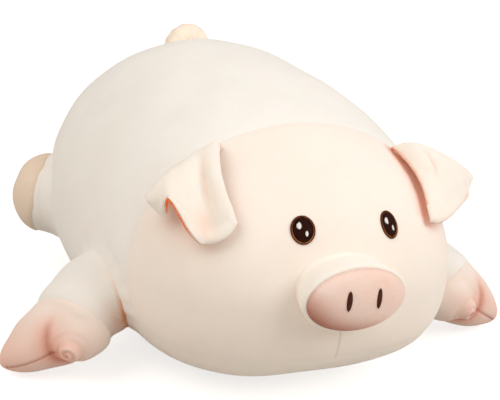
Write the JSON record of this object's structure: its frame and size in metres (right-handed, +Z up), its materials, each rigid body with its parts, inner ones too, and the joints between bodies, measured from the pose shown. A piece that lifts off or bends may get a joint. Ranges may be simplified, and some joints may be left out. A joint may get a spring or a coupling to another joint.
{
  "type": "plush pig",
  "caption": "Stuffed velour pig lying on its belly, with a domed oval snout, floppy ears, stub legs with soft trotters and a curled tail.",
  "frame": {"origin": "on the floor plane, under the middle of the whole toy's box", "axes": "+Z up, the pig faces -Y, +X is the pig's own left side"},
  "size_m": [0.5396, 0.4968, 0.258],
  "materials": {
    "ivory_velour": "short soft pile, warm ivory",
    "cream_velour": "short soft pile, pale cream",
    "pink_velour": "short soft pile, dusty pink",
    "tan_velour": "short soft pile, peach tan",
    "fibre_filling": "loose white polyester fibre",
    "brown_thread": "satin stitch, dark brown",
    "rust_thread": "satin stitch, rust brown",
    "white_thread": "satin stitch, white"
  },
  "bodies": {
    "body": {"body_filling": "fibre_filling", "back_cover": "ivory_velour", "face_panel": "cream_velour", "belly_panel": "ivory_velour", "snout_gusset": "cream_velour", "snout_disc": "pink_velour", "snout_filling": "fibre_filling", "nostril_right": "brown_thread", "nostril_left": "brown_thread", "eye_right_ring": "rust_thread", "eye_right_fill": "brown_thread", "eye_right_large_glint": "white_thread", "eye_right_small_glint": "white_thread", "eye_left_ring": "rust_thread", "eye_left_fill": "brown_thread", "eye_left_large_glint": "white_thread", "eye_left_small_glint": "white_thread"},
    "front_leg_right": {"front_leg_right_sleeve": "ivory_velour", "front_trotter_right": "pink_velour", "front_leg_right_filling": "fibre_filling"},
    "front_leg_left": {"front_leg_left_sleeve": "ivory_velour", "front_trotter_left": "pink_velour", "front_leg_left_filling": "fibre_filling"},
    "rear_leg_right": {"rear_leg_right_sleeve": "ivory_velour", "rear_foot_right": "tan_velour", "rear_leg_right_filling": "fibre_filling"},
    "rear_leg_left": {"rear_leg_left_sleeve": "ivory_velour", "rear_foot_left": "tan_velour", "rear_leg_left_filling": "fibre_filling"},
    "ear_right": {"ear_right_outer": "ivory_velour", "ear_right_lining": "pink_velour"},
    "ear_left": {"ear_left_outer": "ivory_velour", "ear_left_lining": "pink_velour"},
    "tail": {"tail": "tan_velour"}
  },
  "joints": [
    {"name": "front_leg_right_lift", "type": "hinge", "parent": "body", "child": "front_leg_right", "pos_m": [-0.164, -0.04297, 0.067], "axis": [0, 1, 0], "range_deg": [-3, 16], "stiffness_Nm_per_rad": 0.5},
    {"name": "front_leg_left_lift", "type": "hinge", "parent": "body", "child": "front_leg_left", "pos_m": [0.164, -0.04297, 0.067], "axis": [0, -1, 0], "range_deg": [-3, 16], "stiffness_Nm_per_rad": 0.5},
    {"name": "rear_leg_right_lift", "type": "hinge", "parent": "body", "child": "rear_leg_right", "pos_m": [-0.156, 0.15403, 0.086], "axis": [0, 1, 0], "range_deg": [-15, 20], "stiffness_Nm_per_rad": 0.4},
    {"name": "rear_leg_left_lift", "type": "hinge", "parent": "body", "child": "rear_leg_left", "pos_m": [0.156, 0.15403, 0.086], "axis": [0, -1, 0], "range_deg": [-15, 20], "stiffness_Nm_per_rad": 0.4},
    {"name": "ear_right_flap", "type": "hinge", "parent": "body", "child": "ear_right", "pos_m": [-0.11447, -0.0964, 0.20283], "axis": [-0.7557, -0.1516, -0.6371], "range_deg": [-4, 45], "stiffness_Nm_per_rad": 0.08},
    {"name": "ear_left_flap", "type": "hinge", "parent": "body", "child": "ear_left", "pos_m": [0.11447, -0.0964, 0.20283], "axis": [-0.7557, 0.1516, 0.6371], "range_deg": [-4, 45], "stiffness_Nm_per_rad": 0.08},
    {"name": "tail_sway", "type": "hinge", "parent": "body", "child": "tail", "pos_m": [-0.01174, 0.20719, 0.22643], "axis": [-0.0658, 0.6343, 0.7703], "range_deg": [-20, 20], "stiffness_Nm_per_rad": 0.02}
  ]
}
